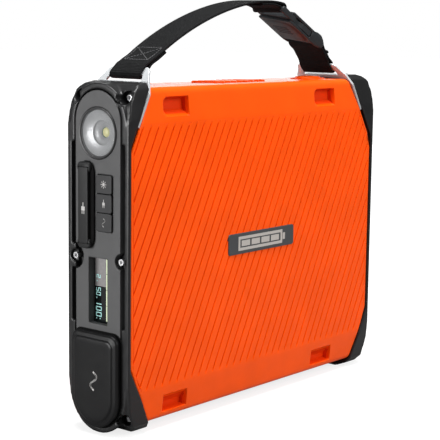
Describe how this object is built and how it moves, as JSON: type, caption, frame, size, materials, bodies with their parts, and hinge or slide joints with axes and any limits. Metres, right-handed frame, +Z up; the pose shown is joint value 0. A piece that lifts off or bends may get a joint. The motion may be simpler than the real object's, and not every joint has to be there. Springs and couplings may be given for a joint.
{
  "type": "jump starter pack",
  "caption": "Flat upright jump starter pack with ribbed shells, end caps, lamp, display, buttons, port covers and a webbing handle on steel brackets with a side-release buckle.",
  "frame": {"origin": "middle of the footprint on the surface that the pack stands on", "axes": "+X along the pack away from the control panel, -Y is the front face, +Z up"},
  "size_m": [0.312, 0.06, 0.3089],
  "materials": {
    "shell_orange": "fine satin texture",
    "cap_black": "fine grain",
    "panel_grey": "fine grain",
    "rubber_black": "matte",
    "cover_black": "fine grain",
    "button_black": "satin with pale icons",
    "screw_steel": "turned",
    "bracket_steel": "brushed",
    "bezel_black": "satin",
    "lens_clear": "clear",
    "reflector": "bright",
    "led_yellow": "phosphor",
    "board_green": "solder mask",
    "display_glass": "smoked",
    "display_body": "dark",
    "socket_black": "satin",
    "socket_blue": "satin",
    "nameplate": "satin",
    "cell_wrap": "shrink sleeve",
    "nickel": "strip",
    "lead_rubber": "insulation",
    "winding": "enamelled wire",
    "heat_sink": "extruded",
    "capacitor": "sleeve",
    "webbing": "woven",
    "buckle_black": "moulded"
  },
  "bodies": {
    "root": {"front_shell": "shell_orange", "rear_shell": "shell_orange", "left_end_cap": "cap_black", "right_end_cap": "cap_black", "control_panel": "panel_grey", "panel_gasket": "rubber_black", "right_port_plate": "panel_grey", "left_cap_screws": "screw_steel", "right_cap_screws": "screw_steel", "lamp_bezel": "bezel_black", "lamp_lens": "lens_clear", "lamp_reflector": "reflector", "lamp_led_board": "board_green", "lamp_led": "led_yellow", "display_window": "display_glass", "display_module": "display_body", "button_board": "board_green", "usb_cover_tether": "rubber_black", "usb_ports": "socket_black", "ac_cover_pin": "screw_steel", "ac_outlet": "socket_black", "jump_cover_pin": "screw_steel", "jump_socket": "socket_blue", "charge_socket": "socket_black", "nameplate": "nameplate", "battery_cells": "cell_wrap", "cell_holders": "socket_black", "cell_busbars": "nickel", "battery_board": "board_green", "battery_leads": "lead_rubber", "main_board": "board_green", "inverter_board": "board_green", "transformer": "winding", "heat_sink": "heat_sink", "capacitors": "capacitor", "fan_frame": "socket_black", "left_strap_bracket": "bracket_steel", "right_strap_bracket": "bracket_steel", "left_strap_loop": "webbing", "right_strap_loop": "webbing"},
    "light_button": {"light_button": "button_black"},
    "usb_button": {"usb_button": "button_black"},
    "ac_button": {"ac_button": "button_black"},
    "usb_cover": {"usb_cover": "rubber_black"},
    "ac_cover": {"ac_cover": "cover_black"},
    "jump_cover": {"jump_cover": "cover_black"},
    "fan": {"fan_rotor": "socket_black"},
    "handle": {"long_webbing": "webbing", "short_webbing": "webbing", "buckle_male": "buckle_black", "buckle_female": "buckle_black"},
    "front_prong": {"front_prong": "buckle_black"},
    "rear_prong": {"rear_prong": "buckle_black"}
  },
  "joints": [
    {"name": "light_button_press", "type": "slide", "parent": "root", "child": "light_button", "axis": [1, 0, 0], "range_m": [0, 0.0008], "stiffness_N_per_m": 800},
    {"name": "usb_button_press", "type": "slide", "parent": "root", "child": "usb_button", "axis": [1, 0, 0], "range_m": [0, 0.0008], "stiffness_N_per_m": 800},
    {"name": "ac_button_press", "type": "slide", "parent": "root", "child": "ac_button", "axis": [1, 0, 0], "range_m": [0, 0.0008], "stiffness_N_per_m": 800},
    {"name": "usb_cover_hinge", "type": "hinge", "parent": "root", "child": "usb_cover", "pos_m": [-0.1503, 0.0101, 0.1943], "axis": [0, 1, 0], "range_deg": [0, 90]},
    {"name": "ac_cover_hinge", "type": "hinge", "parent": "root", "child": "ac_cover", "pos_m": [-0.1528, 0, 0.0711], "axis": [0, 1, 0], "range_deg": [0, 95]},
    {"name": "jump_cover_hinge", "type": "hinge", "parent": "root", "child": "jump_cover", "pos_m": [0.1528, 0, 0.0711], "axis": [0, -1, 0], "range_deg": [0, 95]},
    {"name": "fan_spin", "type": "hinge", "parent": "root", "child": "fan", "pos_m": [-0.008, 0, 0.2275], "axis": [0, 0, 1], "continuous": true},
    {"name": "handle_sway", "type": "hinge", "parent": "root", "child": "handle", "pos_m": [0, 0, 0.2645], "axis": [1, 0, 0], "range_deg": [-25, 25], "stiffness_Nm_per_rad": 0.3},
    {"name": "front_prong_squeeze", "type": "hinge", "parent": "handle", "child": "front_prong", "pos_m": [0.0544, -0.01426, 0.29377], "axis": [0.4695, -0.1392, 0.8719], "range_deg": [0, 8.5], "stiffness_Nm_per_rad": 0.5},
    {"name": "rear_prong_squeeze", "type": "hinge", "parent": "handle", "child": "rear_prong", "pos_m": [0.0563, 0.01426, 0.2973], "axis": [-0.4695, 0.1392, -0.8719], "range_deg": [0, 8.5], "stiffness_Nm_per_rad": 0.5}
  ]
}
